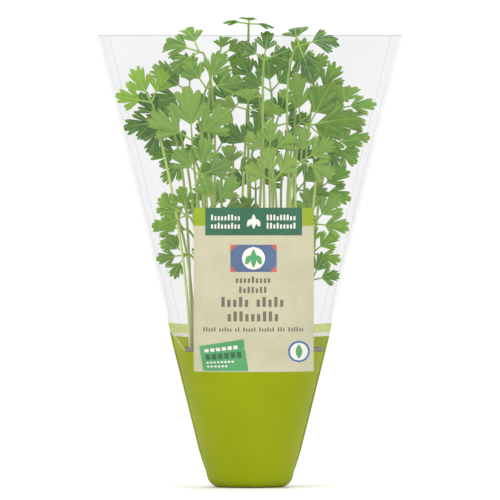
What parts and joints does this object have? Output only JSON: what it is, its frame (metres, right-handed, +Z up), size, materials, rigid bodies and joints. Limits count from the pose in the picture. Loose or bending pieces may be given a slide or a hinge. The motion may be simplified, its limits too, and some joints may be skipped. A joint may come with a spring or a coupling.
{
  "type": "potted parsley",
  "caption": "Living flat-leaf parsley growing in a tapered nursery pot of compost, inside a tapered clear and printed film sleeve that is open at the top.",
  "frame": {"origin": "centre of the sleeve's foot, on the surface that it stands on", "axes": "+Z up; +X to the right across the printed front panel; +Y from the front panel to the back panel"},
  "size_m": [0.2166, 0.1066, 0.3336],
  "materials": {
    "leaf": "waxy living leaf, satin",
    "film": "clear polypropylene film with a lime green printed foot and a printed label panel",
    "pot": "moulded taupe polypropylene",
    "compost": "damp crumbly compost"
  },
  "bodies": {
    "root": {"sleeve": "film", "pot": "pot", "compost": "compost", "frond_01": "leaf", "frond_02": "leaf", "frond_03": "leaf", "frond_04": "leaf", "frond_05": "leaf", "frond_06": "leaf", "frond_07": "leaf", "frond_08": "leaf", "frond_09": "leaf", "frond_10": "leaf", "frond_11": "leaf", "frond_12": "leaf", "frond_13": "leaf", "frond_14": "leaf", "frond_15": "leaf", "frond_16": "leaf", "frond_17": "leaf", "frond_18": "leaf", "frond_19": "leaf", "frond_20": "leaf", "frond_21": "leaf", "frond_22": "leaf", "frond_23": "leaf", "frond_24": "leaf", "frond_25": "leaf", "frond_26": "leaf", "frond_27": "leaf", "frond_28": "leaf", "frond_29": "leaf", "frond_30": "leaf", "frond_31": "leaf", "frond_32": "leaf", "frond_33": "leaf", "frond_34": "leaf", "frond_35": "leaf", "frond_36": "leaf", "frond_37": "leaf", "frond_38": "leaf", "frond_39": "leaf", "frond_40": "leaf", "frond_41": "leaf", "frond_42": "leaf", "frond_43": "leaf", "frond_44": "leaf", "frond_45": "leaf", "frond_46": "leaf", "frond_47": "leaf", "frond_48": "leaf"}
  },
  "joints": []
}
